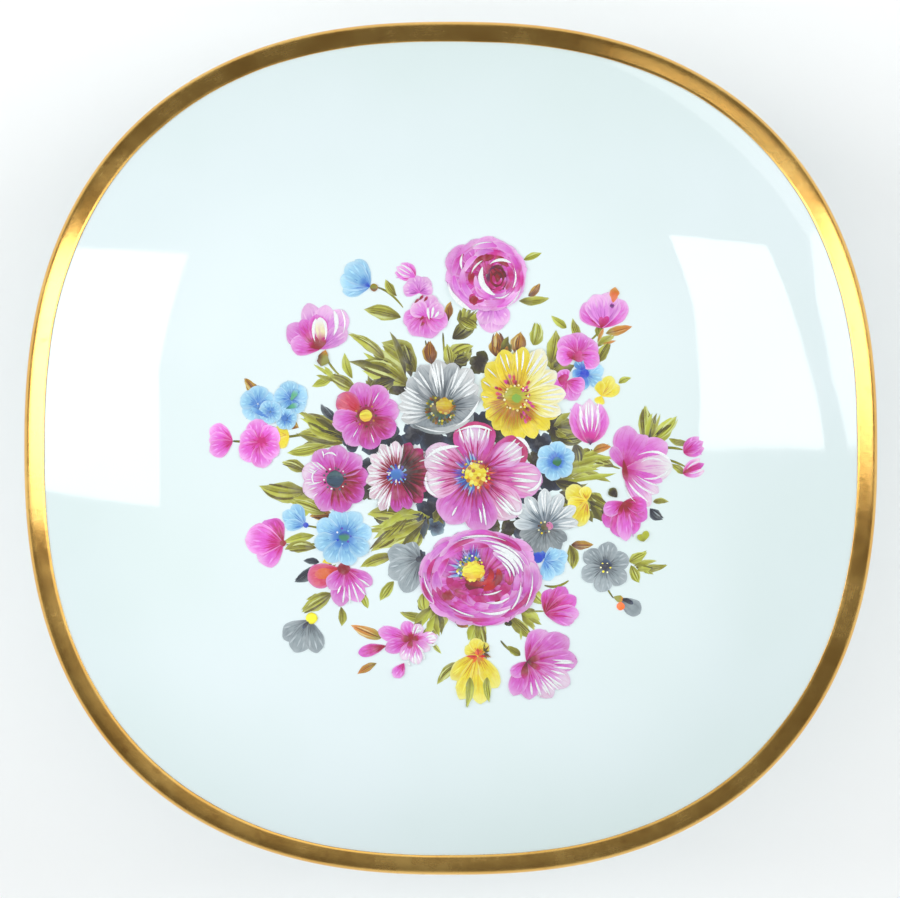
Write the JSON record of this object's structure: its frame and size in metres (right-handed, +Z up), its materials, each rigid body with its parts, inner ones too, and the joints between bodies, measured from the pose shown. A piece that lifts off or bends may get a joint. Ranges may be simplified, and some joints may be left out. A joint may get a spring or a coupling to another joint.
{
  "type": "porcelain trinket box",
  "caption": "Rounded-square porcelain trinket box with a domed lift-off lid, an inner locating flange, gilded edges and a foot ring.",
  "frame": {"origin": "middle of the foot ring, on the surface that the box stands on", "axes": "+Z up through the crown of the lid; X and Y point at the middles of the four sides"},
  "size_m": [0.11, 0.11, 0.0552],
  "materials": {
    "porcelain": "clear glossy glaze over a cool white body",
    "gilding": "burnished gold, fired onto the glaze, brushed on by hand"
  },
  "bodies": {
    "base": {"base_bowl": "porcelain", "base_gilt_band": "gilding"},
    "lid": {"lid": "porcelain", "lid_gilt_band": "gilding"}
  },
  "joints": [
    {"name": "lid_lift", "type": "slide", "parent": "base", "child": "lid", "axis": [0, 0, 1], "range_m": [0, 0.055]}
  ]
}
